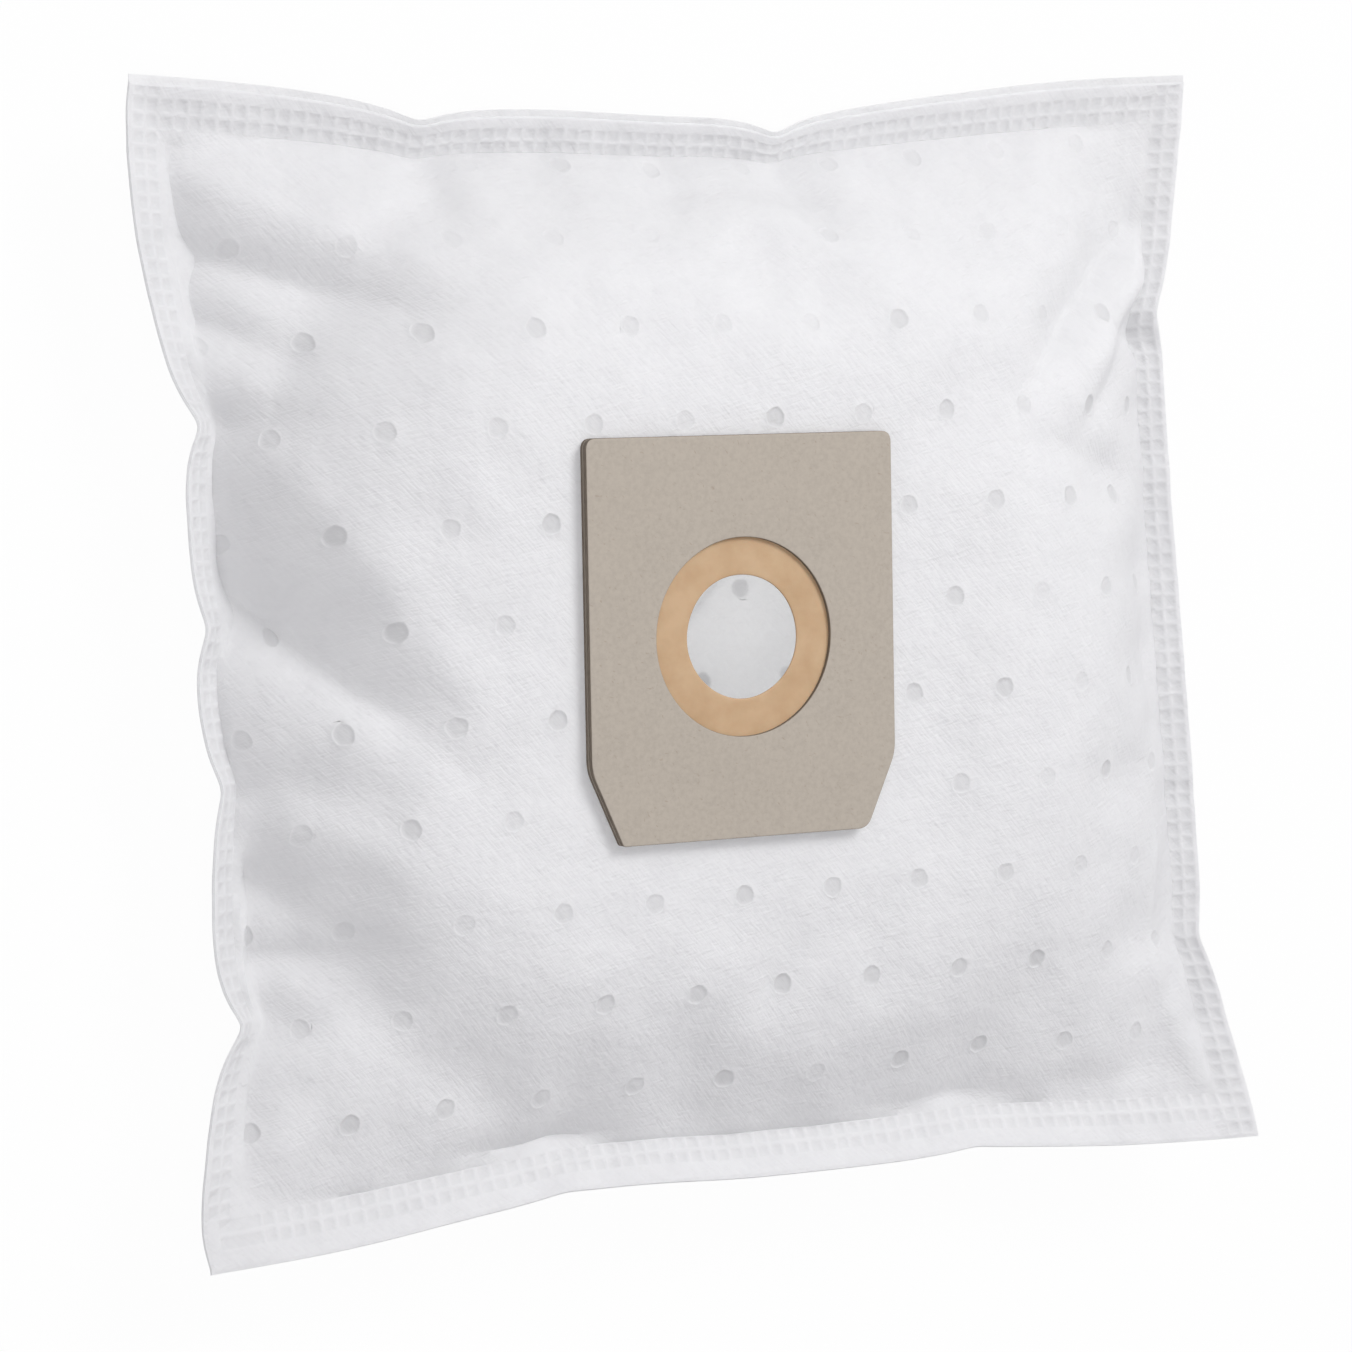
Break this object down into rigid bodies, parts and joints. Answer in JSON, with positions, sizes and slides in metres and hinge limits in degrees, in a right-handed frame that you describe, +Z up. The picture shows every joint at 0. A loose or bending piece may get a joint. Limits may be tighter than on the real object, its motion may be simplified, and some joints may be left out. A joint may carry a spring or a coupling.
{
  "type": "vacuum dust bag",
  "caption": "Filled square vacuum dust bag of white nonwoven with a waffled weld round its edge, dot-bonded panels, and a greyboard collar with a rubber sealing ring.",
  "frame": {"origin": "centre of the bag's box in plan, on the surface it lies on", "axes": "+Z up from the back panel through the collar; +Y towards the bag's top edge, where the collar's square end points; +X to the right seen from the collar side"},
  "size_m": [0.3368, 0.3174, 0.0703],
  "materials": {
    "nonwoven": "matte",
    "greyboard": "matte",
    "latex": "satin"
  },
  "bodies": {
    "root": {"front_panel": "nonwoven", "back_panel": "nonwoven", "backing_card": "greyboard", "rubber_gasket": "latex", "collar_card": "greyboard"}
  },
  "joints": []
}
